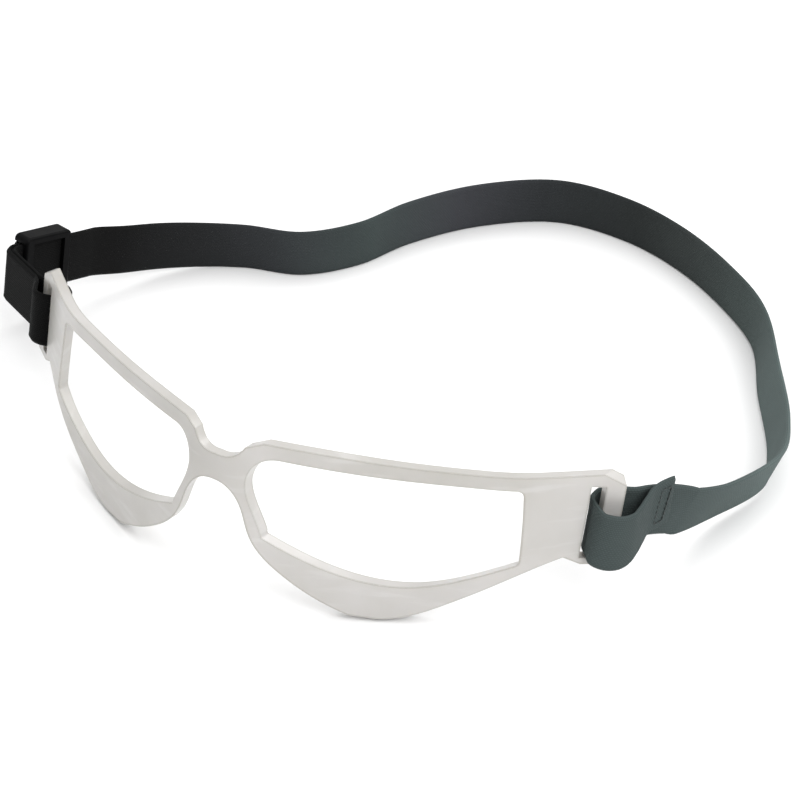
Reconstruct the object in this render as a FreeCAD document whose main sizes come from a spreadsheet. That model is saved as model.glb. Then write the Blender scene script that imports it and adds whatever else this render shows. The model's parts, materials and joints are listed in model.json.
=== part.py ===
import FreeCAD, Part
import math
import os

# Training goggles: a lensless wrap-round frame, an elastic head strap and a strap slider.
# Sizes are in millimetres. The frame is drawn upright and then leans back to its resting pose.
# +X is the wearer's left, the front faces -Y, +Z is up. The origin is on the ground, at the middle
# of the whole part seen from above.

V = FreeCAD.Vector
doc = FreeCAD.newDocument("training_goggles")

# ---------------------------------------------------------------- driving sizes
SIZES = [
    ("lean_deg", 14.0), ("rest_lift", 4.44), ("origin_x", -1.79), ("origin_y", 89.63),
    ("wall", 2.8), ("blank_high", 42.0),
    ("nose_radius", 18.0), ("front_deg", 26.3), ("bend_start_x", 52.0), ("bend_radius", 47.0),
    ("side_deg", 41.0), ("side_long", 17.2),
    ("bar_long", 4.3), ("slot_wide", 3.3), ("slot_high", 16.9), ("slot_low", 19.4),
    ("strap_wide", 13.0), ("strap_thick", 1.0), ("strap_mid", 27.5), ("loop_radius", 4.1),
    ("right_arm_deg", 23.7), ("right_sag", 3.2), ("right_twist_deg", 13.4),
    ("arm_reach", 24.0), ("loop_reach", 7.0), ("layer_gap", 0.2),
    ("slider_out", 20.8), ("slider_back", 15.5), ("slider_turn", 14.0), ("slider_run", 8.0),
    ("corner_before", 3.6), ("corner_radius", 3.2), ("slider_long", 14.0), ("slider_high", 17.0),
    ("slider_thick", 5.2), ("slider_bar", 2.2), ("slider_pass", 13.6), ("slider_round", 1.4),
    ("slider_soft", 0.7), ("thread", 0.35), ("tack_high", 9.6), ("floor_gap", 0.04),
]
sheet = doc.addObject("Spreadsheet::Sheet", "Sizes")
for row, (name, value) in enumerate(SIZES, start=1):
    sheet.set(f"A{row}", name)
    sheet.set(f"B{row}", str(value))
    sheet.setAlias(f"B{row}", name)
doc.recompute()
size = {name: float(getattr(sheet, name)) for name, _ in SIZES}

LEAN = math.radians(size["lean_deg"])
WALL = size["wall"]
BAR_AXIS = V(0, math.sin(LEAN), math.cos(LEAN))
LEAN_TURN = FreeCAD.Rotation(V(1, 0, 0), -size["lean_deg"])
LEAN_PLACEMENT = FreeCAD.Placement(V(-size["origin_x"], -size["origin_y"], size["rest_lift"]), LEAN_TURN)


def leaned(point):
    """A point of the upright frame, taken to the resting pose."""
    return LEAN_PLACEMENT.multVec(point)


def lean_body(body):
    """Tilts an upright body back to the resting pose, driven by the sheet."""
    body.Placement = LEAN_PLACEMENT
    body.setExpression("Placement.Rotation.Angle", "-Sizes.lean_deg")
    body.setExpression("Placement.Base.x", "-Sizes.origin_x")
    body.setExpression("Placement.Base.y", "-Sizes.origin_y")
    body.setExpression("Placement.Base.z", "Sizes.rest_lift")


# ---------------------------------------------------------------- plan of the wrap-round frame
def on_arc(centre, radius, angle):
    return V(centre.x + radius * math.sin(angle), centre.y - radius * math.cos(angle), 0)


FRONT = math.radians(size["front_deg"])
SIDE = math.radians(size["side_deg"])
ALONG_SIDE = V(math.cos(SIDE), math.sin(SIDE), 0)
NOSE_CENTRE = V(0, size["nose_radius"], 0)
NOSE_END = on_arc(NOSE_CENTRE, size["nose_radius"], FRONT)
BEND_START = V(size["bend_start_x"], NOSE_END.y + (size["bend_start_x"] - NOSE_END.x) * math.tan(FRONT), 0)
BEND_CENTRE = BEND_START + V(-math.sin(FRONT), math.cos(FRONT), 0) * size["bend_radius"]
BEND_END = on_arc(BEND_CENTRE, size["bend_radius"], SIDE)
SIDE_END = BEND_END + ALONG_SIDE * size["side_long"]
SIDE_INWARD = V(-math.sin(SIDE), math.cos(SIDE), 0)
BAR_CENTRE = SIDE_END - ALONG_SIDE * (size["bar_long"] / 2) + SIDE_INWARD * (WALL / 2)


def mirrored(point):
    return V(-point.x, point.y, point.z)


def face_of_wrap(depth):
    """Curves of the frame's front face moved inward by depth, from the right end to the left end."""
    nose, bend = size["nose_radius"] - depth, size["bend_radius"] - depth
    end = SIDE_END + SIDE_INWARD * depth
    bend_end = on_arc(BEND_CENTRE, bend, SIDE)
    bend_mid = on_arc(BEND_CENTRE, bend, (FRONT + SIDE) / 2)
    bend_start = on_arc(BEND_CENTRE, bend, FRONT)
    nose_end = on_arc(NOSE_CENTRE, nose, FRONT)
    curves = [Part.Arc(nose_end, on_arc(NOSE_CENTRE, nose, 0), mirrored(nose_end))]
    for side in (V, mirrored):
        first, middle, last, tip, root = (side(p) for p in (bend_end, bend_mid, bend_start, end, nose_end))
        curves += [Part.LineSegment(tip, first), Part.Arc(first, middle, last), Part.LineSegment(last, root)]
    return curves, end


# ---------------------------------------------------------------- sketch helpers
def new_body(name):
    body = doc.addObject("PartDesign::Body", name)
    body.Label = name
    return body


def new_sketch(body, name, plane, curves):
    sketch = body.newObject("Sketcher::SketchObject", name)
    origin = [o for o in body.Origin.OriginFeatures if o.Role == plane][0]
    sketch.AttachmentSupport = (origin, "")
    sketch.MapMode = "FlatFace"
    for curve in curves:
        sketch.addGeometry(curve, False)
    return sketch


def smooth(points):
    curve = Part.BSplineCurve()
    curve.interpolate([V(x, y, 0) for x, y in points])
    return [curve]


def lines(points):
    return [Part.LineSegment(V(*a, 0), V(*b, 0)) for a, b in zip(points, points[1:])]


def both_sides(pieces):
    """Curves of the left half and of its mirror image; each piece is (smooth or lines, points)."""
    drawn = []
    for draw, points in pieces:
        drawn += draw(points) + draw([(-x, y) for x, y in points])
    return drawn


def rectangle(x0, y0, x1, y1):
    return lines([(x0, y0), (x1, y0), (x1, y1), (x0, y1), (x0, y0)])


def rounded_rectangle(half_x, half_y, radius):
    """Rectangle centred on the origin with rounded corners."""
    curves = []
    for sx, sy in ((1, 1), (-1, 1), (-1, -1), (1, -1)):
        centre = V(sx * (half_x - radius), sy * (half_y - radius), 0)
        first = centre + (V(radius, 0, 0) * sx if sx * sy > 0 else V(0, radius, 0) * sy)
        last = centre + (V(0, radius, 0) * sy if sx * sy > 0 else V(radius, 0, 0) * sx)
        middle = centre + V(sx, sy, 0) * (radius / math.sqrt(2))
        curves.append((first, middle, last))
    drawn = [Part.Arc(*corner) for corner in curves]
    for corner, following in zip(curves, curves[1:] + curves[:1]):
        drawn.append(Part.LineSegment(corner[2], following[0]))
    return drawn


def pocket_through(body, sketch, name):
    pocket = body.newObject("PartDesign::Pocket", name)
    pocket.Profile = sketch
    pocket.Type = 1
    pocket.Midplane = True
    return pocket


# ---------------------------------------------------------------- frame outline, from the front (x, height)
BRIDGE_TOP, ARCH_TOP, CHEEK_FOOT = (0.0, 32.8), (0.0, 26.8), (29.5, 0.0)
DIP = [BRIDGE_TOP, (4.2, 33.6), (6.2, 36.0)]
BROW = [(9.5, 37.4), (20.0, 36.9), (33.0, 36.6), (46.0, 37.0), (58.0, 37.9), (71.0, 39.3)]
CHEEK = [(66.6, 19.4), (60.5, 15.4), (54.2, 10.7), (46.5, 5.2), (39.5, 1.2), (35.0, 0.0)]
NOSE_SIDE = [
    CHEEK_FOOT, (23.0, 2.7), (16.0, 7.2), (11.4, 11.4), (9.0, 15.0), (7.7, 18.5), (6.3, 22.4), (3.8, 25.6),
]
BEYOND = 84.0
CORNER_SLOPE = 0.62


def frame_outline():
    """The frame's outer edge. Both ends run past the blank, whose own ends make the strap bars."""
    corner = BROW[-1]
    chamfer_end = (BEYOND, corner[1] - (BEYOND - corner[0]) * CORNER_SLOPE)
    side_panel = [corner, chamfer_end, (BEYOND, 18.2), (69.6, 17.9), CHEEK[0]]
    return both_sides([
        (smooth, DIP), (lines, [DIP[-1], BROW[0]]), (smooth, BROW), (lines, side_panel),
        (smooth, CHEEK), (lines, [CHEEK[-1], CHEEK_FOOT]), (smooth, NOSE_SIDE + [ARCH_TOP]),
    ])


EYE_TOP = [(12.6, 34.0), (22.0, 33.5), (33.0, 33.4), (45.0, 33.9), (56.9, 34.6)]
EYE_OUTER = [(58.3, 33.4), (58.9, 27.0), (59.4, 18.2)]
EYE_LOW = [(58.2, 16.7), (50.0, 12.4), (42.0, 9.2), (35.0, 8.3), (28.0, 9.0), (20.0, 11.4), (11.6, 15.3)]
EYE_NOSE = [(11.0, 16.3), (9.4, 20.2), (7.6, 24.6), (7.0, 28.0), (8.2, 31.8), (12.6, 34.0)]


def eye_openings():
    """Both lensless openings, with small rounds between their long sides."""
    upper_corner = [EYE_TOP[-1], (57.9, 34.3), EYE_OUTER[0]]
    lower_corner = [EYE_OUTER[-1], (59.1, 17.3), EYE_LOW[0]]
    nose_corner = [EYE_LOW[-1], (11.1, 15.6), EYE_NOSE[0]]
    edges = (EYE_TOP, upper_corner, EYE_OUTER, lower_corner, EYE_LOW, nose_corner, EYE_NOSE)
    return both_sides([(smooth, edge) for edge in edges])


def cut_slot(body, side):
    """Upright slot for the strap, cut square through one side panel."""
    slot = body.newObject("PartDesign::SubtractiveBox", f"slot_{'left' if side > 0 else 'right'}")
    slot.setExpression("Length", "Sizes.slot_wide")
    slot.setExpression("Width", "Sizes.wall * 3")
    slot.setExpression("Height", "Sizes.slot_high")
    back = BAR_CENTRE - ALONG_SIDE * (size["bar_long"] / 2 + size["slot_wide"]) - SIDE_INWARD * (WALL * 1.5)
    turn = size["side_deg"]
    if side < 0:
        back = mirrored(back + ALONG_SIDE * size["slot_wide"])
        turn = -turn
    place = FreeCAD.Placement(V(back.x, back.y, size["slot_low"]), FreeCAD.Rotation(V(0, 0, 1), turn))
    slot.Placement = place
    return slot


def build_frame():
    body = new_body("goggle_frame")
    front, front_end = face_of_wrap(0)
    back, back_end = face_of_wrap(WALL)
    ends = [Part.LineSegment(front_end, back_end), Part.LineSegment(mirrored(front_end), mirrored(back_end))]
    plan = new_sketch(body, "wrap_plan", "XY_Plane", front + back + ends)
    blank = body.newObject("PartDesign::Pad", "wrap_blank")
    blank.Profile = plan
    blank.setExpression("Length", "Sizes.blank_high")
    edge = new_sketch(body, "outer_edge", "XZ_Plane", rectangle(-90, -10, 90, 60) + frame_outline())
    pocket_through(body, edge, "trim_to_edge")
    eyes = new_sketch(body, "eye_openings", "XZ_Plane", eye_openings())
    pocket_through(body, eyes, "cut_eyes")
    cut_slot(body, 1)
    cut_slot(body, -1)
    lean_body(body)
    return body


# ---------------------------------------------------------------- strap layout
class Arm:
    """One side of the strap in the upright frame: along leaves the bar, inner points to the head.

    A straight arm has one heading. An arm with a bend turns to a second heading on a small radius.
    Beyond the loop round the bar an arm can lean its upper edge outward and sag, more and more.
    A sewn outer layer leans with the inner one but does not sag.
    """

    def __init__(self, side, heading, bend_at=math.inf, radius=1.0, second=0.0, sag=0.0, twist=0.0):
        self.side, self.sag, self.twist = side, sag, twist
        self.bar = V(side * BAR_CENTRE.x, BAR_CENTRE.y, size["strap_mid"])
        self.heading, self.radius = heading, radius
        self.turn = second - heading
        self.bend_start = bend_at - radius * math.tan(abs(self.turn) / 2)
        self.bend_end = self.bend_start + radius * abs(self.turn)

    def frame_at(self, along):
        """Centre point, direction and inward direction at a distance from the bar."""
        bent = min(max(along - self.bend_start, 0.0), self.bend_end - self.bend_start)
        angle = self.heading + math.copysign(bent / self.radius, self.turn)
        point = self.bar + plan_direction(self.heading) * min(along, self.bend_start)
        if bent:
            centre_side = plan_direction(self.heading + math.copysign(math.pi / 2, self.turn))
            spoke = plan_direction(angle - math.copysign(math.pi / 2, self.turn))
            point += (centre_side + spoke) * self.radius
            point += plan_direction(angle) * max(0.0, along - self.bend_end)
        direction = plan_direction(angle)
        return point, direction, V(-self.side * direction.y, self.side * direction.x, 0)

    def share(self, along):
        """How much of the lean is reached: none at the loop, all of it at the arm's end."""
        return max(0.0, (along - size["loop_reach"]) / (size["arm_reach"] - size["loop_reach"]))

    def pose_at(self, along, inner, rise=0.0):
        """Point of a layer, with the arm's direction, inward direction and width direction there."""
        point, direction, inward = self.frame_at(along)
        twist = self.twist * self.share(along)
        width = V(0, 0, math.cos(twist)) - inward * math.sin(twist)
        normal = inward * math.cos(twist) + V(0, 0, math.sin(twist))
        drop = self.sag * self.share(along) ** 2 if inner > 0 else 0.0
        return point + normal * inner + V(0, 0, rise - drop), direction, normal, width

    def station(self, along, inner, rise=0.0):
        """Centre point and width direction of a layer, in the resting pose."""
        point, _, _, width = self.pose_at(along, inner, rise)
        return leaned(point), LEAN_TURN.multVec(width)

    def placement(self, along, inner=0.0, rise=0.0):
        """Pose with X along the arm, Y to the head and Z across the strap's width."""
        point, direction, normal, width = self.pose_at(along, inner, rise)
        turn = FreeCAD.Rotation(direction, normal, width, "XYZ")
        return LEAN_PLACEMENT.multiply(FreeCAD.Placement(point, turn))


def plan_direction(angle):
    """Unit vector in plan, at an angle from straight back towards the wearer's left."""
    return V(math.sin(angle), math.cos(angle), 0)


SLIDER_HEADING = math.radians(size["slider_turn"])
SLIDER_NEAR_END = V(-size["slider_out"], size["slider_back"], 0)
BEND_POINT = SLIDER_NEAR_END - plan_direction(SLIDER_HEADING) * size["corner_before"]
FIRST_HEADING = math.atan2(BEND_POINT.x, BEND_POINT.y)
RIGHT_TWIST = math.radians(size["right_twist_deg"])
RIGHT = Arm(1, math.radians(size["right_arm_deg"]), sag=size["right_sag"], twist=RIGHT_TWIST)
LEFT = Arm(-1, FIRST_HEADING, BEND_POINT.Length, size["corner_radius"], SLIDER_HEADING)
TANGENT = LEFT.radius * math.tan(abs(LEFT.turn) / 2)
SLIDER_START = LEFT.bend_end + size["corner_before"] - TANGENT
SLIDER_MID = SLIDER_START + size["slider_long"] / 2
LEFT_ARM_END = SLIDER_START + size["slider_long"] + size["slider_run"] + 1.0
LAYER = size["strap_thick"] + size["layer_gap"]
LOOP_CENTRE = (-0.2, 0.1)
OUTER_LAYER_END = 4.6


def arm_steps(arm, first, last):
    """Distances along an arm for its stations: wide apart on the straights, close on the bend."""
    steps = [first]
    while steps[-1] < last - 0.5:
        near_bend = arm.bend_start - 2.0 < steps[-1] + 0.5 < arm.bend_end + 2.0
        stride = 0.7 if near_bend else 3.0
        if steps[-1] < arm.bend_start - 2.0:
            stride = min(stride, max(0.7, arm.bend_start - 2.0 - steps[-1]))
        steps.append(min(last, steps[-1] + stride))
    return steps


# Centre line of the sewn loop, from the cut end of its outer layer, round the bar through the slot,
# to the inner layer: distance along the arm, distance towards the head, and rise.
SEWN_LOOP = [
    (17.0, -0.62, 2.2), (14.5, -0.66, 1.7), (12.5, -0.8, 1.2), (10.5, -1.3, 0.7), (8.0, -2.6, -0.1),
    (5.0, -4.2, -1.1), (2.0, -5.4, -1.9), (-1.0, -5.5, -2.2), (-3.4, -4.4, -2.1), (-4.7, -2.6, -1.7),
    (-4.55, -0.9, -1.3), (-4.05, 0.6, -1.2), (-3.3, 2.2, -1.1), (-2.0, 3.6, -0.9), (0.2, 4.2, -0.6),
    (2.4, 3.4, -0.3), (4.6, 1.9, 0.0), (7.2, LAYER / 2, 0.0),
]


def round_loop():
    """Centre line of the loop on the slider's side: a round turn that stops short on the outside."""
    radius = size["loop_radius"]
    line = [(OUTER_LAYER_END, -1.9)]
    for step in range(8):
        angle = math.radians(-70 - step * 220 / 7)
        line.append((LOOP_CENTRE[0] + radius * math.cos(angle), LOOP_CENTRE[1] + radius * math.sin(angle)))
    return line + [(4.0, 2.2), (7.2, LAYER / 2)]


def arm_stations(arm, loop, inner_run):
    """Stations from the outer layer's end, round the bar, to the end of the arm's inner layer."""
    inner_layer = [(along, LAYER / 2) for along in arm_steps(arm, 10.0, inner_run)]
    return [arm.station(*spot) for spot in loop + inner_layer]


# Back part of the strap, resting on its lower edge, from the slider's arm to the sewn arm: plan
# position from the front of the frame's nose bridge, outward tilt in degrees, and lift off the ground.
BACK_ROUTE = [
    (-83.0, 89.6, 0, 3.9), (-77.6, 98.2, 0, 1.8), (-70.6, 105.4, 0, 0.4), (-60.5, 111.4, 0, 0),
    (-46.8, 116.0, 0, 0), (-36.8, 127.0, 0, 0), (-30.5, 142.0, 0, 0), (-19.0, 158.5, 0, 0),
    (-2.0, 171.0, 0, 0), (17.0, 172.3, 0, 0), (34.2, 167.6, 1, 0), (50.5, 158.6, 3, 0),
    (64.6, 146.9, 6, 0), (75.4, 128.5, 15, 0.1), (86.1, 109.4, 16, 0.2), (89.7, 96.9, 18, 0.7),
    (85.1, 80.2, 19, 2.2),
]
LEFT_SHARE_UPRIGHT = (0.2, 0.5, 0.8)


def back_stations():
    """Centre points of the back run and the strap's width direction at each."""
    stations = []
    for index, (x, y, tilt, lift) in enumerate(BACK_ROUTE):
        before, after = BACK_ROUTE[max(0, index - 1)], BACK_ROUTE[min(len(BACK_ROUTE) - 1, index + 1)]
        travel = V(after[0] - before[0], after[1] - before[1], 0).normalize()
        lean = math.radians(tilt)
        width_axis = V(0, 0, math.cos(lean)) + V(-travel.y, travel.x, 0) * math.sin(lean)
        if index < len(LEFT_SHARE_UPRIGHT):
            upright = LEFT_SHARE_UPRIGHT[index]
            width_axis = (BAR_AXIS * (1 - upright) + width_axis * upright).normalize()
        edge_below = size["strap_wide"] / 2 * width_axis.z + size["strap_thick"] / 2 * math.sin(lean)
        height = edge_below + size["floor_gap"] + lift
        centre = V(x - size["origin_x"], y - size["origin_y"], height)
        stations.append((centre, width_axis))
    return stations


def ribbon(stations, wide, thick):
    """Solid webbing along the stations: (centre point, width direction) pairs."""
    knots = [0.0]
    for (point, _), (following, _) in zip(stations, stations[1:]):
        knots.append(knots[-1] + point.distanceToPoint(following))
    path = Part.BSplineCurve()
    path.interpolate(Points=[point for point, _ in stations], Parameters=knots)
    edges = {}
    for face in (-1, 1):
        for rim in (-1, 1):
            points = []
            for (point, axis), knot in zip(stations, knots):
                normal = path.tangent(knot)[0].cross(axis).normalize()
                points.append(point + axis * (rim * wide / 2) + normal * (face * thick / 2))
            curve = Part.BSplineCurve()
            curve.interpolate(Points=points, Parameters=knots)
            edges[face, rim] = curve.toShape()
    pairs = [((-1, -1), (-1, 1)), ((1, -1), (1, 1)), ((-1, -1), (1, -1)), ((-1, 1), (1, 1))]
    faces = [Part.makeRuledSurface(edges[a], edges[b]) for a, b in pairs]
    for last in (0, -1):
        ring = [edges[key].Vertexes[last].Point for key in ((-1, -1), (1, -1), (1, 1), (-1, 1))]
        faces.append(Part.Face(Part.makePolygon(ring + ring[:1])))
    solid = Part.Solid(Part.Shell(Part.Compound(faces).Faces))
    solid.fix(1e-3, 1e-4, 1e-2)
    if solid.Volume < 0:
        solid.reverse()
    return solid


def add_shape(name, shape):
    feature = doc.addObject("Part::Feature", name)
    feature.Label = name
    feature.Shape = shape
    feature.Placement = FreeCAD.Placement()
    return feature


def build_strap():
    """The one long strip: sewn loop on the +X bar, round the head, through the slider, round the -X bar."""
    right = arm_stations(RIGHT, SEWN_LOOP, size["arm_reach"])
    left = arm_stations(LEFT, round_loop(), LEFT_ARM_END)
    strip = ribbon(right + back_stations()[::-1] + left[::-1], size["strap_wide"], size["strap_thick"])
    return add_shape("elastic_strap", strip)


# ---------------------------------------------------------------- slider and the strap end sewn to it
def cut_box(body, name, length, width, height, corner):
    box = body.newObject("PartDesign::SubtractiveBox", name)
    box.setExpression("Length", length)
    box.setExpression("Width", width)
    box.setExpression("Height", height)
    box.Placement = FreeCAD.Placement(V(*corner), FreeCAD.Rotation())


def build_slider():
    """Two end rails carry two side bars on the head side and one centre bar on the outside."""
    body = new_body("strap_slider")
    half_long, half_high = size["slider_long"] / 2, size["slider_high"] / 2
    corners = rounded_rectangle(half_long, half_high, size["slider_round"])
    outline = new_sketch(body, "slider_outline", "XZ_Plane", corners)
    plate = body.newObject("PartDesign::Pad", "slider_plate")
    plate.Profile = outline
    plate.Midplane = True
    plate.setExpression("Length", "Sizes.slider_thick")
    doc.recompute()
    soften = body.newObject("PartDesign::Fillet", "soft_edges")
    edges = enumerate(plate.Shape.Edges, start=1)
    soften.Base = (plate, [f"Edge{number}" for number, edge in edges if edge.BoundBox.YLength < 0.1])
    soften.setExpression("Radius", "Sizes.slider_soft")
    bar, layer = size["slider_bar"], size["slider_thick"] / 4
    low, out = -size["slider_pass"] / 2, size["slider_thick"]
    tall, deep, across = "Sizes.slider_pass", "Sizes.slider_thick", "Sizes.slider_long"
    cut_box(body, "strap_passage", f"{across} * 2", f"{deep} / 2", tall, (-2 * half_long, -layer, low))
    cut_box(body, "inner_window", f"{across} - Sizes.slider_bar * 2", deep, tall, (bar - half_long, 0, low))
    cut_box(body, "outer_window_front", across, deep, tall, (-bar / 2 - 2 * half_long, -out, low))
    cut_box(body, "outer_window_back", across, deep, tall, (bar / 2, -out, low))
    body.Placement = LEFT.placement(SLIDER_MID)
    return body


def pad_across_strap(name, placement, outline):
    """A piece of webbing drawn in plan and padded to the strap's width."""
    body = new_body(name)
    pad = body.newObject("PartDesign::Pad", f"{name}_pad")
    pad.Profile = new_sketch(body, f"{name}_plan", "XY_Plane", outline)
    pad.Midplane = True
    pad.setExpression("Length", "Sizes.strap_wide")
    body.Placement = placement
    return body


NEAR_FACE = -size["layer_gap"] / 2
NEAR_BACK = NEAR_FACE - size["strap_thick"]
UNDER_FACE = -size["slider_thick"] / 2 - size["layer_gap"]
UNDER_BACK = UNDER_FACE - size["strap_thick"]
TAIL_FACE = NEAR_BACK - size["layer_gap"]
TAIL_BACK = TAIL_FACE - size["strap_thick"]
TAIL_END = -6.8


def build_slider_end():
    """The strip's far end: into the slider, round its centre bar and back, sewn down on itself."""
    turn_x, middle = 0.9, (NEAR_FACE + UNDER_BACK) / 2
    outer, inner = (NEAR_FACE - UNDER_BACK) / 2, (NEAR_BACK - UNDER_FACE) / 2
    under = [(turn_x, UNDER_BACK), (-1.5, UNDER_BACK), (-4.1, TAIL_BACK), (TAIL_END, TAIL_BACK)]
    under += [(TAIL_END, TAIL_FACE), (-3.8, TAIL_FACE), (-1.25, UNDER_FACE), (turn_x, UNDER_FACE)]
    outline = lines([(turn_x, NEAR_BACK), (TAIL_END, NEAR_BACK), (TAIL_END, NEAR_FACE), (turn_x, NEAR_FACE)])
    outline += lines(under)
    for near, bulge, far in ((NEAR_FACE, outer, UNDER_BACK), (NEAR_BACK, inner, UNDER_FACE)):
        outline.append(Part.Arc(V(turn_x, near, 0), V(turn_x + bulge, middle, 0), V(turn_x, far, 0)))
    return pad_across_strap("strap_slider_end", LEFT.placement(SLIDER_MID), outline)


def build_return_layer():
    """Outer layer between the frame's bar and the slider; it lengthens as the slider moves away."""
    start, flat, end = OUTER_LAYER_END + 0.6, 7.2, SLIDER_MID + TAIL_END - 0.15
    bar_face, slanted = -1.1, size["strap_thick"] * 1.1
    bend_middle = (LEFT.bend_start + LEFT.bend_end) / 2

    def spot(along, inner):
        point, _, inward = LEFT.frame_at(along)
        return point + inward * inner - V(0, 0, size["strap_mid"])

    def layer_face(inner, bar_end):
        points = [spot(a, i) for a, i in ((start, bar_end), (flat, inner), (LEFT.bend_start, inner))]
        bend = [spot(a, inner) for a in (LEFT.bend_start, bend_middle, LEFT.bend_end)]
        curves = [Part.LineSegment(a, b) for a, b in zip(points, points[1:])]
        return curves + [Part.Arc(*bend), Part.LineSegment(bend[-1], spot(end, inner))]

    near, back = layer_face(NEAR_FACE, bar_face), layer_face(NEAR_BACK, bar_face - slanted)
    caps = [Part.LineSegment(spot(start, bar_face), spot(start, bar_face - slanted))]
    caps.append(Part.LineSegment(spot(end, NEAR_FACE), spot(end, NEAR_BACK)))
    up = FreeCAD.Placement(V(0, 0, size["strap_mid"]), FreeCAD.Rotation())
    return pad_across_strap("strap_return_layer", LEAN_PLACEMENT.multiply(up), near + back + caps)


def build_seam(name, arm, along, long, outer_face, rise=0.0):
    """Box stitch lying on the outside of the webbing: a thin closed ring of thread."""
    thread, high = size["thread"], size["tack_high"]
    hole_long, hole_high = long - 2 * thread, high - 2 * thread
    ring = Part.makeBox(long, thread, high, V(-long / 2, -thread, -high / 2))
    corner = V(-hole_long / 2, -2 * thread, -hole_high / 2)
    ring = ring.cut(Part.makeBox(hole_long, 3 * thread, hole_high, corner))
    feature = doc.addObject("Part::Feature", name)
    feature.Label = name
    feature.Shape = ring
    feature.Placement = arm.placement(along, outer_face, rise)
    return feature


SEAM_GAP, CURVED_SEAM_GAP = 0.05, 0.32
OUTER_FACE = -LAYER / 2 - size["strap_thick"] / 2
pieces = [
    build_frame(),
    build_strap(),
    build_seam("strap_sewn_seam", RIGHT, 14.7, 3.2, OUTER_FACE - CURVED_SEAM_GAP, 1.75),
    build_return_layer(),
    build_slider(),
    build_slider_end(),
    build_seam("slider_end_seam", LEFT, SLIDER_MID - 5.45, 2.2, TAIL_BACK - SEAM_GAP),
]
doc.recompute()
for item in doc.Objects:
    if {"Invalid", "Error"} & set(item.State):
        raise RuntimeError(f"{item.Name} did not compute: {item.State}")
for piece in pieces:
    if piece.Shape.isNull() or not piece.Shape.isValid() or len(piece.Shape.Solids) != 1:
        raise RuntimeError(f"{piece.Label} is not one valid solid")

os.makedirs("parts", exist_ok=True)
for piece in pieces:
    piece.Shape.exportStep(f"parts/{piece.Label}.step")
    print(piece.Label, round(piece.Shape.Volume, 1))
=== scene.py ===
import bpy
import json
import math
import random
from mathutils import Matrix, Vector


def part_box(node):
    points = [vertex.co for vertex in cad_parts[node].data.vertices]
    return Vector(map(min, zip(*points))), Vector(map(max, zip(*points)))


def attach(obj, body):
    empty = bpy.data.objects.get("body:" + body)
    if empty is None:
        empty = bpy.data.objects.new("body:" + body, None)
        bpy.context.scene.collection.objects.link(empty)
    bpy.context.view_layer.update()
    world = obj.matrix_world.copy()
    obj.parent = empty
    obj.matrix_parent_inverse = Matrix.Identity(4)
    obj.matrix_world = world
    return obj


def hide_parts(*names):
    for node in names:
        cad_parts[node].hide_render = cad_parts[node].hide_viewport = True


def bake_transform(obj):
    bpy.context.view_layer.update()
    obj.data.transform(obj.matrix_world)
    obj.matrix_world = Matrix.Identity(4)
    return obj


# Lensless sports goggles: a milky moulded frame, an elastic strap that is sewn round the bar on the
# wearer's left, and a black slider beside the other bar. Lengths are in metres where no comment says mm.
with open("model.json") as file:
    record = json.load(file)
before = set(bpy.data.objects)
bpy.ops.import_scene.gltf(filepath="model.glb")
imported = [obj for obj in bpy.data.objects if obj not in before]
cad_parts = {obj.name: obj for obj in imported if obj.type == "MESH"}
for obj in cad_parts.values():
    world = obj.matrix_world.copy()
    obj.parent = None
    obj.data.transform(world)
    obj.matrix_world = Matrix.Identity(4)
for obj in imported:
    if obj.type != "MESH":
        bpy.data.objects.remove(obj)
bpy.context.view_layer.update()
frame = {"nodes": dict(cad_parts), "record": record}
MM = 0.001
random.seed(7)

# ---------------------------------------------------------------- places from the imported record
record = frame["record"]
joints = {joint["name"]: joint for joint in record["behaviour"]["joints"]}
mounts = {mount["name"]: mount for mount in record["mounts"]}
X = Vector((1, 0, 0))
Z = Vector((0, 0, 1))
UP = -Vector(mounts["cheek_edge_left"]["axis"])      # up of the frame, which lies leaning back
BACK = UP.cross(X)
BAR_MIDDLE = Vector(joints["strap_tilt"]["pos_m"])   # on the line through both strap bars
SLIDE = Vector(joints["slider_slide"]["axis"]).normalized()
SLIDER_MIDDLE = sum(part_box("strap_slider"), Vector()) / 2

# ---------------------------------------------------------------- sizes
BAR_HALF_SPAN = 72.45 * MM
NOSE_TO_BARS = 46.64 * MM           # level distance behind the front of the nose bridge
WIDE = 13.0 * MM
THICK = 1.0 * MM
PAINTED_SHADING_LENGTH = 450 * MM              # of webbing, over which its painted light and shade runs through all its stops

# The two arms of the strap, which leave the bars, in mm.
LOOP_REACH = 7.0                    # from the bar to where the sewn arm begins to lean and sag
ARM_REACH = 24.0                    # from the bar to where the sewn arm meets the back run
OUTER_END = 4.6                     # from the bar to the outer end of the loop on the slider's side
CORNER_TO_SLIDER = 3.6              # from the corner of the slider's arm to the slider
SLIDER_HALF = 7.0
BEYOND_SLIDER = 9.0                 # straight webbing past the slider
LAYER = 0.6                         # from the middle of a pair of layers to the centre of each


# ---------------------------------------------------------------- small helpers
def add_object(name, mesh, material):
    obj = bpy.data.objects.new(name, mesh)
    bpy.context.scene.collection.objects.link(obj)
    mesh.materials.append(material)
    for face in mesh.polygons:
        face.use_smooth = True
    return obj


def mesh_from(name, verts, faces):
    mesh = bpy.data.meshes.new(name)
    mesh.from_pydata(verts, [], faces)
    mesh.validate()
    return mesh


def neighbours(items, index):
    """The items before and after one in a list, or the item itself where the list ends."""
    return items[max(0, index - 1)], items[min(len(items) - 1, index + 1)]


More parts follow.
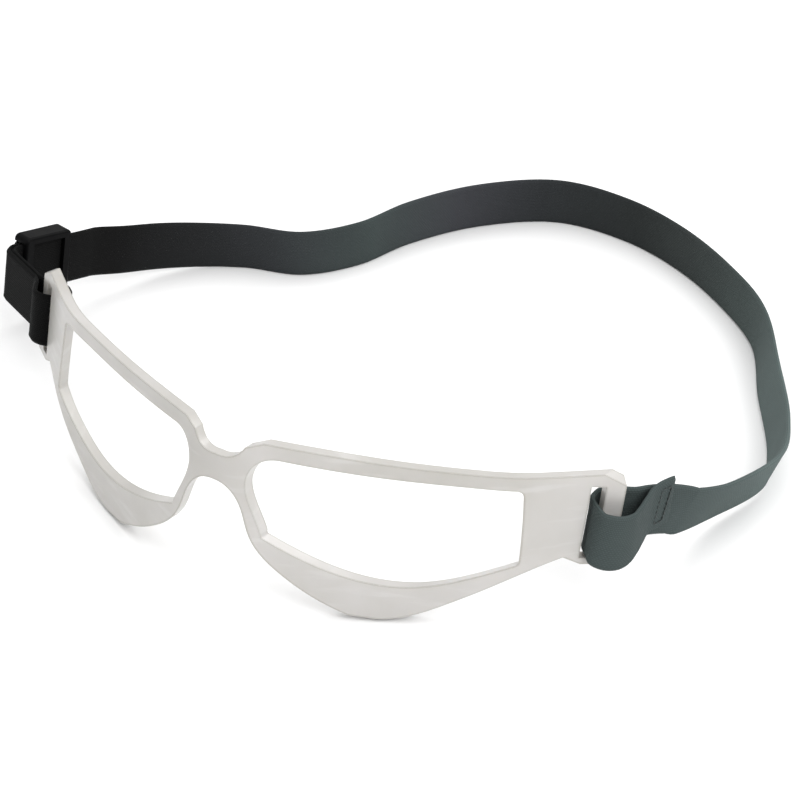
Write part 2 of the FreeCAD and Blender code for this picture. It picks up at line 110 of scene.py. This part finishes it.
def catmull(points, per_span):
    """Smooth line through the points: a centripetal Catmull-Rom spline."""
    ends = [points[0] * 2 - points[1], *points, points[-1] * 2 - points[-2]]
    line = []
    for p0, p1, p2, p3 in zip(ends, ends[1:], ends[2:], ends[3:]):
        knots = [0.0]
        for a, b in ((p0, p1), (p1, p2), (p2, p3)):
            knots.append(knots[-1] + max((b - a).length, 1e-9) ** 0.5)
        k0, k1, k2, k3 = knots
        for step in range(per_span):
            u = k1 + (k2 - k1) * step / per_span
            a1 = p0 * ((k1 - u) / (k1 - k0)) + p1 * ((u - k0) / (k1 - k0))
            a2 = p1 * ((k2 - u) / (k2 - k1)) + p2 * ((u - k1) / (k2 - k1))
            a3 = p2 * ((k3 - u) / (k3 - k2)) + p3 * ((u - k2) / (k3 - k2))
            b1 = a1 * ((k2 - u) / (k2 - k0)) + a2 * ((u - k0) / (k2 - k0))
            b2 = a2 * ((k3 - u) / (k3 - k1)) + a3 * ((u - k1) / (k3 - k1))
            line.append(b1 * ((k2 - u) / (k2 - k1)) + b2 * ((u - k1) / (k2 - k1)))
    line.append(points[-1].copy())
    return line


def evenly(line, values, spacing):
    """Distance, point and value at equal steps along a dense line that has a value at each point."""
    along = [0.0]
    for a, b in zip(line, line[1:]):
        along.append(along[-1] + (b - a).length)
    count = max(2, round(along[-1] / spacing))
    spots = []
    index = 0
    for step in range(count + 1):
        want = along[-1] * step / count
        while index < len(line) - 2 and along[index + 1] < want:
            index += 1
        span = max(along[index + 1] - along[index], 1e-12)
        mix = (want - along[index]) / span
        point = line[index].lerp(line[index + 1], mix)
        value = values[index].lerp(values[index + 1], mix)
        spots.append((want, point, value))
    return spots


# ---------------------------------------------------------------- webbing mesh
COLUMNS = 18              # faces across the webbing
SPLINE_STEPS = 12         # points of the smooth line from one station to the next
SELVEDGE = 0.07           # rounded part at each edge, as a share of the half width
SELVEDGE_DROP = 0.96      # how far that part falls off: 1 would end in a sharp edge
ROLL_SWELL = 0.10         # how much thicker the webbing is just inside its selvedges
ROLL_PLACE = 0.88         # where that is, as a share of the half width
ROLL_WIDTH = 0.06


def webbing_section():
    """(across, half thickness) over the width, as shares: flat faces with plump, rounded selvedges."""
    outline = []
    for column in range(COLUMNS + 1):
        across = -1 + 2 * column / COLUMNS
        edge = max(0.0, abs(across) - (1 - SELVEDGE)) / SELVEDGE
        swell = 1.0 + ROLL_SWELL * math.exp(-((abs(across) - ROLL_PLACE) / ROLL_WIDTH) ** 2)
        outline.append((across, swell * math.sqrt(max(0.0, 1 - edge * edge * SELVEDGE_DROP))))
    return outline


def strip_faces(rings, ring):
    """Faces of a closed strip: quads between its rings of points, and a row of quads on each end."""
    faces = []
    last = (rings - 1) * ring
    for base in range(0, last, ring):
        for point in range(ring):
            following = (point + 1) % ring
            faces.append((base + point, base + ring + point, base + ring + following, base + following))
    for base, order in ((0, 1), (last, -1)):
        for column in range(COLUMNS):
            quad = (base + column, base + column + 1, base + ring - 2 - column, base + ring - 1 - column)
            faces.append(quad[::order])
    return faces


def webbing(name, stations, material, spacing=0.7 * MM, start_u=0.0):
    """Woven strap along (centre, width axis) stations, with u along and v across in its UV map."""
    centres = catmull([centre for centre, _ in stations], SPLINE_STEPS)
    axes = catmull([axis for _, axis in stations], SPLINE_STEPS)
    rings = evenly(centres, axes, spacing)
    section = webbing_section()
    outline = section + [(across, -half) for across, half in reversed(section)]
    verts = []
    uvs = []
    for index, (along, centre, axis) in enumerate(rings):
        before, after = neighbours(rings, index)
        tangent = (after[1] - before[1]).normalized()
        axis = (axis - tangent * axis.dot(tangent)).normalized()
        normal = tangent.cross(axis)
        for across, half in outline:
            verts.append(centre + axis * (across * WIDE / 2) + normal * (half * THICK / 2))
            uvs.append((start_u + along, across * WIDE / 2))
    mesh = mesh_from(name, verts, strip_faces(len(rings), len(outline)))
    layer = mesh.uv_layers.new(name="weave")
    for loop in mesh.loops:
        layer.data[loop.index].uv = uvs[loop.vertex_index]
    return add_object(name, mesh, material)


# ---------------------------------------------------------------- materials
class Finish:
    """A material under construction. Its methods add nodes and return an output socket of theirs."""

    def __init__(self, name):
        self.material = bpy.data.materials.new(name)
        self.material.use_nodes = True
        self.nodes = self.material.node_tree.nodes
        self.links = self.material.node_tree.links
        self.surface = self.nodes["Principled BSDF"]

    def feed(self, socket, value):
        """Gives a socket a number, a vector or a colour, or links it to another node's output."""
        if isinstance(value, bpy.types.NodeSocket):
            self.links.new(value, socket)
        elif socket.type == "RGBA":
            socket.default_value = (*value, 1)
        else:
            socket.default_value = value

    def shade(self, **inputs):
        """Sets the surface's own inputs: Base_Color stands for the one called Base Color."""
        for name, value in inputs.items():
            self.feed(self.surface.inputs[name.replace("_", " ")], value)

    def add(self, kind, output, inputs, **settings):
        """Adds a node; inputs maps the name or the number of a socket to its value."""
        node = self.nodes.new(kind)
        for name, value in settings.items():
            setattr(node, name, value)
        for key, value in inputs.items():
            self.feed(node.inputs[key], value)
        return node.outputs[output]

    def place(self):
        return self.add("ShaderNodeTexCoord", "Object", {})

    def math(self, operation, *values):
        return self.add("ShaderNodeMath", 0, dict(enumerate(values)), operation=operation)

    def noise(self, scale, detail=3.0, vector=None):
        if vector is None:
            vector = self.place()
        return self.add("ShaderNodeTexNoise", "Fac", {"Scale": scale, "Detail": detail, "Vector": vector})

    def spread(self, value, low, high):
        """A value of 0 to 1, brought to the range from low to high."""
        return self.add("ShaderNodeMapRange", "Result", {"Value": value, "To Min": low, "To Max": high})

    def mixed(self, factor, first, second, blend="MIX"):
        """Colour between two colours or colour sockets."""
        inputs = {"Factor": factor, "A": first, "B": second}
        return self.add("ShaderNodeMix", "Result", inputs, data_type="RGBA", blend_type=blend)

    def ramp(self, factor, stops):
        """Colour at a factor of 0 to 1, between stops of (position, colour)."""
        node = self.nodes.new("ShaderNodeValToRGB")
        elements = node.color_ramp.elements
        while len(elements) < len(stops):
            elements.new(0.5)
        for element, (position, colour) in zip(elements, stops):
            element.position = position
            element.color = (*colour, 1)
        self.feed(node.inputs["Fac"], factor)
        return node.outputs["Color"]

    def bump(self, height, distance, strength, over=None):
        """Normal of a bumped surface, on top of another bump where one is given."""
        inputs = {"Height": height, "Distance": distance, "Strength": strength}
        if over is not None:
            inputs["Normal"] = over
        return self.add("ShaderNodeBump", "Normal", inputs)

    def edge_share(self, radius):
        """1 on a moulding's edges, falling to 0 on its flat faces."""
        rounded = self.add("ShaderNodeBevel", "Normal", {"Radius": radius}, samples=8)
        plain = self.add("ShaderNodeNewGeometry", "Normal", {})
        match = self.add("ShaderNodeVectorMath", "Value", {0: rounded, 1: plain}, operation="DOT_PRODUCT")
        inputs = {"Value": match, "From Min": 1.0, "From Max": 0.86}
        return self.add("ShaderNodeMapRange", "Result", inputs)


def milky_plastic():
    """Soft moulded PVC: cloudy, light passes through it, faintly streaked, with painted shade along its
    edges in place of light bent by the clear plastic.
    """
    finish = Finish("milky_soft_plastic")
    clouds = [(0.32, (0.52, 0.505, 0.470)), (0.68, (0.63, 0.612, 0.595))]
    tint = finish.ramp(finish.noise(38, 4.0), clouds)
    stretch = {"Vector": finish.place(), "Scale": (60, 60, 520)}
    drawn_out = finish.add("ShaderNodeMapping", "Vector", stretch)
    streaks = finish.ramp(finish.noise(1.0, 4.0, drawn_out), [(0.56, (0, 0, 0)), (0.72, (1, 1, 1))])
    body = finish.mixed(finish.math("MULTIPLY", streaks, 0.35), tint, (0.74, 0.73, 0.72))
    # Painted shade: the colour darkens along the edges, standing in for light bent by the clear plastic.
    painted_edge_shade = finish.math("MULTIPLY", finish.edge_share(0.9 * MM), 0.8)
    ripple = finish.bump(finish.noise(55, 2.0), 0.5 * MM, 0.45)
    finish.shade(
        Base_Color=finish.mixed(painted_edge_shade, body, (0.34, 0.325, 0.29)),
        Roughness=finish.spread(finish.noise(120), 0.22, 0.42),
        IOR=1.49,
        Subsurface_Weight=0.3,
        Subsurface_Radius=(1.0, 0.95, 0.85),
        Subsurface_Scale=2 * MM,
        Transmission_Weight=0.15,
        Coat_Weight=0.3,
        Coat_Roughness=0.18,
        Normal=finish.bump(finish.noise(900, 2.0), 0.04 * MM, 0.5, ripple),
    )
    return finish.material


# Painted light and shade along the webbing, from the sewn loop to the slider, at shares of the length set
# above.
# Lighter round the arc beyond the sewn arm, darker across the back, darkest on the arm by the slider.
PAINTED_LIGHT_AND_SHADE = [
    (0.12, (0.061, 0.077, 0.076)), (0.19, (0.118, 0.150, 0.146)), (0.27, (0.112, 0.144, 0.140)),
    (0.35, (0.064, 0.080, 0.077)), (0.40, (0.042, 0.049, 0.048)), (0.44, (0.028, 0.032, 0.032)),
    (0.50, (0.029, 0.032, 0.034)), (0.55, (0.051, 0.053, 0.060)), (0.61, (0.053, 0.067, 0.066)),
    (0.67, (0.034, 0.037, 0.040)), (0.71, (0.019, 0.020, 0.021)), (0.76, (0.007, 0.007, 0.007)),
    (0.86, (0.003, 0.003, 0.003)),
]
RIB_WAVE = 0.93 * MM
WEFT_WAVE = 0.62 * MM


def woven_elastic():
    """Elastic webbing: lengthwise ribs crossed by fine weft, with lint and wear, painted shade in the
    weave's hollows, and painted light and shade along its length.
    """
    finish = Finish("woven_elastic")
    weave_map = finish.add("ShaderNodeUVMap", "UV", {}, uv_map="weave")
    along = finish.add("ShaderNodeSeparateXYZ", "X", {"Vector": weave_map})
    across = finish.add("ShaderNodeSeparateXYZ", "Y", {"Vector": weave_map})

    rib = finish.math("SINE", finish.math("MULTIPLY", across, 2 * math.pi / RIB_WAVE))
    stagger = finish.math("MULTIPLY", finish.math("SIGN", rib), math.pi / 2)
    weft = finish.math("SINE", finish.math("MULTIPLY_ADD", along, 2 * math.pi / WEFT_WAVE, stagger))
    raised = finish.math("ABSOLUTE", rib)
    woven = finish.math("MULTIPLY", raised, finish.math("MULTIPLY_ADD", weft, 0.5, 0.5))
    height = finish.math("ADD", woven, finish.math("MULTIPLY", raised, 0.6))

    worn = finish.math("MULTIPLY", finish.noise(60), 0.5)
    # Darker in the weave's hollows: painted shade, mixed with the random wear above.
    weave_shade_and_wear = finish.math("ADD", finish.math("MULTIPLY", height, 0.3), worn)
    shade_and_wear_tone = finish.ramp(weave_shade_and_wear, [(0.1, (0.72, 0.72, 0.72)), (0.9, (1.18, 1.18, 1.18))])
    # Painted light and shade along the strap's length.
    painted_light_and_shade_along = finish.ramp(finish.math("DIVIDE", along, PAINTED_SHADING_LENGTH), PAINTED_LIGHT_AND_SHADE)
    body = finish.bump(height, 0.10 * MM, 0.6)
    finish.shade(
        Base_Color=finish.mixed(1.0, painted_light_and_shade_along, shade_and_wear_tone, "MULTIPLY"),
        Roughness=0.8,
        Specular_IOR_Level=0.08,
        Sheen_Weight=0.03,
        Sheen_Roughness=0.45,
        Sheen_Tint=(0.80, 0.86, 0.86),
        Normal=finish.bump(finish.noise(2600, 2.0), 0.05 * MM, 0.5, body),
    )
    return finish.material


def sewing_thread(name, dark, light):
    """Twisted thread, mottled between two colours."""
    finish = Finish(name)
    twist = finish.noise(3500, 2.0)
    finish.shade(
        Base_Color=finish.ramp(twist, [(0.3, dark), (0.7, light)]),
        Roughness=0.55,
        Normal=finish.bump(twist, 0.06 * MM, 0.8),
    )
    return finish.material


def slider_plastic():
    """Injection-moulded black plastic: satin with faint flow marks."""
    finish = Finish("slider_black_plastic")
    blacks = [(0.3, (0.0015, 0.0015, 0.0017)), (0.7, (0.004, 0.004, 0.0043))]
    finish.shade(
        Base_Color=finish.ramp(finish.noise(90, 4.0), blacks),
        Roughness=finish.spread(finish.noise(300), 0.34, 0.50),
        Specular_IOR_Level=0.06,
        Normal=finish.bump(finish.noise(1800, 2.0), 0.03 * MM, 0.4),
    )
    return finish.material


# ---------------------------------------------------------------- moulded pieces kept from the CAD
def soften_edges(node, radius, material):
    """Rounds a moulding's crisp edges with modifiers and gives it its finish."""
    obj = frame["nodes"][node]
    obj.data.materials.clear()
    obj.data.materials.append(material)
    for face in obj.data.polygons:
        face.use_smooth = True
    weld = obj.modifiers.new("weld", "WELD")
    weld.merge_threshold = 0.002 * MM
    rounding = obj.modifiers.new("rounding", "BEVEL")
    rounding.width = radius
    rounding.segments = 3
    rounding.limit_method = "ANGLE"
    rounding.angle_limit = math.radians(35)
    obj.modifiers.new("normals", "WEIGHTED_NORMAL")


# ---------------------------------------------------------------- arms of the strap
def level_direction(angle):
    """Direction across the frame's upright axis, at an angle from straight back towards +X."""
    return X * math.sin(angle) + BACK * math.cos(angle)


class Arm:
    """One side of the strap: along leaves the bar, inner points to the head, both in millimetres.

    An arm can bend once to a second heading. It can also lean its upper edge outward and sag, more
    and more towards its end; an outer layer sewn to it leans but does not sag.
    """

    NEVER = 1000.0      # a place past every arm's end, where an arm bends that has no bend

    def __init__(self, side, heading, bend_at=NEVER, radius=1.0, second=None, sag=0.0, twist=0.0):
        self.bar = BAR_MIDDLE + X * (side * BAR_HALF_SPAN)
        self.side = side
        self.heading = heading
        self.radius = radius
        self.sag = sag
        self.twist = twist
        self.turn = 0.0 if second is None else second - heading
        self.corner_to_arc = radius * math.tan(abs(self.turn) / 2)
        self.bend_start = bend_at - self.corner_to_arc
        self.bend_end = self.bend_start + radius * abs(self.turn)

    def pose(self, along, inner, rise=0.0):
        """Point, width direction and outward normal of a layer."""
        bent = min(max(along - self.bend_start, 0.0), self.bend_end - self.bend_start)
        angle = self.heading + math.copysign(bent / self.radius, self.turn)
        point = level_direction(self.heading) * min(along, self.bend_start)
        if bent:
            quarter = math.copysign(math.pi / 2, self.turn)
            spokes = level_direction(self.heading + quarter) + level_direction(angle - quarter)
            point += spokes * self.radius
            point += level_direction(angle) * max(0.0, along - self.bend_end)
        inward = UP.cross(level_direction(angle)) * self.side
        share = max(0.0, (along - LOOP_REACH) / (ARM_REACH - LOOP_REACH))
        lean = self.twist * share
        width = UP * math.cos(lean) - inward * math.sin(lean)
        normal = inward * math.cos(lean) + UP * math.sin(lean)
        drop = self.sag * share ** 2 if inner > 0 else 0.0
        return self.bar + (point + normal * inner + UP * (rise - drop)) * MM, width, -normal

    def at(self, along, inner, up=0.0):
        """Point of a layer, up millimetres above its middle line."""
        point, width, _ = self.pose(along, inner)
        return point + width * up * MM

    def stations(self, line):
        """(centre, width axis) stations of a line of (along, inner) or (along, inner, rise)."""
        return [self.pose(*spot)[:2] for spot in line]


def slider_arm():
    """The arm on the wearer's right, which turns outward at the bar, then bends back to the slider."""
    bend_to_middle = SLIDE * (SLIDER_HALF + CORNER_TO_SLIDER) * MM
    to_bend = SLIDER_MIDDLE - bend_to_middle - (BAR_MIDDLE - X * BAR_HALF_SPAN)
    return Arm(
        side=-1,
        heading=math.atan2(to_bend.x, to_bend.dot(BACK)),
        bend_at=to_bend.length / MM,
        radius=3.2,
        second=math.atan2(SLIDE.x, SLIDE.dot(BACK)),
    )


SEWN_ARM = Arm(side=1, heading=math.radians(23.7), sag=3.2, twist=math.radians(13.4))
SLIDER_ARM = slider_arm()
SLIDER_START = SLIDER_ARM.bend_end + CORNER_TO_SLIDER - SLIDER_ARM.corner_to_arc
SLIDER_MID = SLIDER_START + SLIDER_HALF


# ---------------------------------------------------------------- course of the strap
# The sewn loop, from the cut end of its outer layer, round the bar through the slot, to the inner
# layer: distance along the arm, distance towards the head, and rise, in mm.
SEWN_LOOP = [
    (17.0, -0.62, 2.2), (14.5, -0.66, 1.7), (12.5, -0.8, 1.2), (10.5, -1.3, 0.7), (8.0, -2.6, -0.1),
    (5.0, -4.2, -1.1), (2.0, -5.4, -1.9), (-1.0, -5.5, -2.2), (-3.4, -4.4, -2.1), (-4.7, -2.6, -1.7),
    (-4.55, -0.9, -1.3), (-4.05, 0.6, -1.2), (-3.3, 2.2, -1.1), (-2.0, 3.6, -0.9), (0.2, 4.2, -0.6),
    (2.4, 3.4, -0.3), (4.6, 1.9, 0.0), (7.2, LAYER, 0.0),
]

# The outer run leaves the loop on the slider's side here: distance along, distance towards the head.
OUTER_RUN_START = [(OUTER_END - 0.3, -1.95), (6.0, -1.15), (7.2, -0.62)]

# The strip's end, from the outer run, round the slider's centre bar, to its cut end outside:
# distance past the slider's middle, and distance towards the head, in mm.
END_LOOP = [
    (-6.8, -LAYER), (-5.0, -LAYER), (-2.0, -LAYER), (0.2, -LAYER), (0.9, -0.62),
    (1.65, -0.995), (2.05, -1.95), (1.65, -2.9), (0.9, -3.28), (0.2, -3.3),
    (-1.3, -3.3), (-2.7, -2.6), (-4.0, -1.84), (-5.2, -1.8), (-6.8, -1.8),
]

# Plan of the back run, in mm from the front of the nose bridge: x, y, the outward tilt of the
# webbing in degrees, and how far its lower edge is lifted.
BACK_ROUTE = [
    (-83.0, 89.6, 0, 3.9), (-77.6, 98.2, 0, 1.8), (-70.6, 105.4, 0, 0.4), (-60.5, 111.4, 0, 0),
    (-46.8, 116.0, 0, 0), (-36.8, 127.0, 0, 0), (-30.5, 142.0, 0, 0), (-19.0, 158.5, 0, 0),
    (-2.0, 171.0, 0, 0), (17.0, 172.3, 0, 0), (34.2, 167.6, 1, 0), (50.5, 158.6, 3, 0),
    (64.6, 146.9, 6, 0), (75.4, 128.5, 15, 0.1), (86.1, 109.4, 16, 0.2), (89.7, 96.9, 18, 0.7),
    (85.1, 80.2, 19, 2.2),
]
SHARE_UPRIGHT = (0.2, 0.5, 0.8)      # how far the first stations have come upright from the frame's lean
FLOOR_GAP = 0.04                     # under the webbing where it stands on its lower edge, in mm


def round_loop():
    """The loop on the slider's side: a round turn about the bar that stops short on the outside."""
    radius = 4.1
    middle_along = -0.2
    middle_inner = 0.1
    first_angle = -70
    sweep = -220
    points = 8
    line = [(OUTER_END, -1.9)]
    for step in range(points):
        angle = math.radians(first_angle + sweep * step / (points - 1))
        line.append((radius * math.cos(angle) + middle_along, radius * math.sin(angle) + middle_inner))
    return line + [(4.0, 2.2), (7.2, LAYER)]


def arm_steps(arm, first, last):
    """Distances along an arm, in mm: wide apart on the straights, close together round its bend."""
    close = 0.7
    wide = 3.0
    least = 0.5
    margin = 2.0
    steps = [first]
    while steps[-1] < last - least:
        to_bend = arm.bend_start - margin - steps[-1]
        if to_bend >= least:
            stride = min(wide, max(close, to_bend))
        elif steps[-1] + least < arm.bend_end + margin:
            stride = close
        else:
            stride = wide
        steps.append(min(last, steps[-1] + stride))
    return steps


def arm_stations(arm, loop, inner_run):
    """Stations from the outer layer's end, round the bar, to the end of the arm's inner layer."""
    steps = arm_steps(arm, first=10.0, last=inner_run)
    return arm.stations(loop + [(along, LAYER) for along in steps])


def back_stations():
    """Stations of the run behind the head, from the slider's side to the sewn side."""
    stations = []
    for index, (x, y, tilt, lift) in enumerate(BACK_ROUTE):
        before, after = neighbours(BACK_ROUTE, index)
        travel = Vector((after[0] - before[0], after[1] - before[1], 0)).normalized()
        lean = math.radians(tilt)
        axis = Vector((-travel.y, travel.x, 0)) * math.sin(lean) + Z * math.cos(lean)
        if index < len(SHARE_UPRIGHT):
            axis = UP.lerp(axis, SHARE_UPRIGHT[index]).normalized()
        height = WIDE / 2 * axis.z + THICK / 2 * math.sin(lean) + (lift + FLOOR_GAP) * MM
        centre = Vector((BAR_MIDDLE.x + x * MM, BAR_MIDDLE.y - NOSE_TO_BARS + y * MM, height))
        stations.append((centre, axis))
    return stations


def build_long_run(material):
    """The strip from its sewn end, round the head, through the slider and round the other bar."""
    sewn_side = arm_stations(SEWN_ARM, SEWN_LOOP, ARM_REACH)
    slider_side = arm_stations(SLIDER_ARM, round_loop(), SLIDER_START + 2 * SLIDER_HALF + BEYOND_SLIDER)
    strap = webbing("strap_webbing", sewn_side + back_stations()[::-1] + slider_side[::-1], material)
    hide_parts("elastic_strap")
    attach(strap, "strap")


def build_outer_run(material):
    """The outer layer from the bar to the slider."""
    steps = arm_steps(SLIDER_ARM, first=8.4, last=SLIDER_START + 0.1)
    stations = SLIDER_ARM.stations(OUTER_RUN_START + [(along, -LAYER) for along in steps])
    outer = webbing("strap_outer_run", stations, material, spacing=0.3 * MM, start_u=440 * MM)
    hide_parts("strap_return_layer")
    still_until = tuple(SLIDER_ARM.at(SLIDER_ARM.bend_end, 0))
    moves_from = tuple(SLIDER_ARM.at(SLIDER_START, 0))
    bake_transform(outer)


def build_end_loop(material):
    """The strip's end, which is sewn round the slider's centre bar and travels with it."""
    stations = SLIDER_ARM.stations([(SLIDER_MID + past_middle, inner) for past_middle, inner in END_LOOP])
    end = webbing("strap_end_loop", stations, material, spacing=0.4 * MM, start_u=450 * MM)
    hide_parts("strap_slider_end")
    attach(end, "slider")


# ---------------------------------------------------------------- stitches
THREAD_RADIUS = 0.17 * MM
STITCH_PITCH = 1.35       # mm
STITCH_WOBBLE = 0.05      # mm that a needle hole lies off the line, at most
HOLES = (0.1, 0.9)        # where the thread dives in, as shares of the pitch
TIP_RADIUS = 0.55         # of the thread where it dives in, in thread radii
BURIED = 0.55             # depth of a stitch's ends under the surface, in thread radii
STANDS_UP = 0.9           # height of a stitch's middle over its ends, in thread radii


def add_stitch(verts, faces, start, end, normal):
    """One stitch: a short plump thread that rises from the webbing and dives back into it."""
    rings = 7
    sides = 8
    along = end - start
    across = along.normalized().cross(normal)
    base = len(verts)
    for ring in range(rings):
        share = ring / (rings - 1)
        bow = math.sin(math.pi * share)
        thin = TIP_RADIUS + (1 - TIP_RADIUS) * bow ** 0.5
        centre = start + along * share + normal * THREAD_RADIUS * (bow * STANDS_UP - BURIED)
        for side in range(sides):
            angle = 2 * math.pi * side / sides
            spoke = across * math.cos(angle) + normal * math.sin(angle)
            verts.append(centre + spoke * THREAD_RADIUS * thin)
    for ring in range(rings - 1):
        here = base + ring * sides
        there = here + sides
        for side in range(sides):
            following = (side + 1) % sides
            faces.append((here + side, here + following, there + following, there + side))
    faces.append(tuple(base + side for side in reversed(range(sides))))
    faces.append(tuple(base + (rings - 1) * sides + side for side in range(sides)))


def seam(name, arm, middle, face, size, material, rise=0.0, slope=0.0):
    """Box of stitches on the outside of the strap, of a size in mm along it and across it.

    middle is the box's middle along the arm, and face is where the webbing's outer face is,
    measured towards the head; rise and slope follow a layer that climbs.
    """
    x, y = size[0] / 2, size[1] / 2
    corners = [(-x, -y), (x, -y), (x, y), (-x, y)]
    verts = []
    faces = []
    for (x0, y0), (x1, y1) in zip(corners, corners[1:] + corners[:1]):
        count = max(2, round(math.hypot(x1 - x0, y1 - y0) / STITCH_PITCH))
        for step in range(count):
            ends = []
            for hole in HOLES:
                share = (step + hole) / count
                wobble = random.uniform(-STITCH_WOBBLE, STITCH_WOBBLE)
                along = x0 + (x1 - x0) * share
                up = y0 + (y1 - y0) * share
                ends.append(arm.at(middle + along, face, up + rise + slope * along + wobble))
            add_stitch(verts, faces, *ends, arm.pose(middle, face)[2])
    return add_object(name, mesh_from(name, verts, faces), material)


def build_sewn_loop_seam():
    # This thread is painted lighter to match the painted light on the strap around it.
    thread = sewing_thread("sewing_thread_painted_lighter", (0.026, 0.033, 0.032), (0.046, 0.057, 0.056))
    stitches = seam(
        "sewn_loop_stitches", SEWN_ARM, middle=14.2, face=-1.16, size=(2.4, 8.8),
        material=thread, rise=1.6, slope=0.2,
    )
    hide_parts("strap_sewn_seam")
    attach(stitches, "strap")


def build_slider_end_seam():
    thread = sewing_thread("sewing_thread", (0.008, 0.009, 0.009), (0.020, 0.022, 0.022))
    stitches = seam(
        "slider_end_stitches", SLIDER_ARM, middle=SLIDER_MID - 5.45, face=-2.3, size=(1.9, 9.2),
        material=thread,
    )
    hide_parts("slider_end_seam")
    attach(stitches, "slider")


# ---------------------------------------------------------------- floor, light, camera
def build_floor():
    bpy.ops.mesh.primitive_plane_add(size=20.0, location=(0, 0, 0))
    floor = bpy.context.object
    floor.name = "studio_floor"
    finish = Finish("pale_floor")
    finish.shade(Base_Color=(0.90, 0.90, 0.90), Roughness=0.9, Specular_IOR_Level=0.1)
    floor.data.materials.append(finish.material)


def add_light(name, kind, energy):
    light = bpy.data.lights.new(name, kind)
    light.energy = energy
    lamp = bpy.data.objects.new(name, light)
    bpy.context.scene.collection.objects.link(lamp)
    return lamp


def add_softbox(name, place, width, watts):
    """A rectangular light at a place, turned towards the object."""
    lamp = add_light(name, "AREA", watts)
    lamp.data.shape = "RECTANGLE"
    lamp.data.size = width
    lamp.data.size_y = width * 0.8
    lamp.location = place
    lamp.rotation_euler = (-Vector(place)).to_track_quat("-Z", "Y").to_euler()


def build_light():
    """A white surround, two softboxes and a broad light from above, with colours shown as they are."""
    world = bpy.data.worlds.new("studio")
    world.use_nodes = True
    surround = world.node_tree.nodes["Background"]
    surround.inputs["Color"].default_value = (1.0, 1.0, 1.0, 1)
    surround.inputs["Strength"].default_value = 0.60
    bpy.context.scene.world = world
    bpy.context.scene.view_settings.view_transform = "Standard"

    add_softbox("key", (0.75, -0.30, 0.80), width=0.7, watts=5.5)
    add_softbox("rim", (0.3, 0.9, 0.7), width=0.6, watts=3.0)
    ceiling = add_light("ceiling", "SUN", 1.5)
    ceiling.data.angle = math.radians(70)
    ceiling.rotation_euler = (math.radians(-8), math.radians(-6), 0)


def build_camera():
    """The view from the front, from the wearer's left and above, with a slight roll."""
    azimuth = math.radians(29.54)
    elevation = math.radians(37.77)
    roll = math.radians(0.915)
    distance = 520.57 * MM
    target = Vector((BAR_MIDDLE.x + 24.44 * MM, BAR_MIDDLE.y - 4.69 * MM, 37.4 * MM))

    level = Vector((math.cos(azimuth), math.sin(azimuth), 0))
    outward = Vector((math.sin(azimuth), -math.cos(azimuth), 0))
    back = outward * math.cos(elevation) + Z * math.sin(elevation)
    upright = back.cross(level)
    right = level * math.cos(roll) + upright * math.sin(roll)
    up = upright * math.cos(roll) - level * math.sin(roll)

    optics = bpy.data.cameras.new("camera")
    optics.sensor_width = 36.0
    optics.lens = 110.3
    optics.clip_start = 0.01
    optics.clip_end = 20
    camera = bpy.data.objects.new("camera", optics)
    turn = Matrix((right, up, back)).transposed().to_4x4()
    camera.matrix_world = Matrix.Translation(target + back * distance) @ turn
    bpy.context.scene.collection.objects.link(camera)
    bpy.context.scene.camera = camera


build_camera()
build_floor()
build_light()
soften_edges("goggle_frame", 0.45 * MM, milky_plastic())
soften_edges("strap_slider", 0.5 * MM, slider_plastic())
elastic = woven_elastic()
build_long_run(elastic)
build_outer_run(elastic)
build_end_loop(elastic)
build_sewn_loop_seam()
build_slider_end_seam()
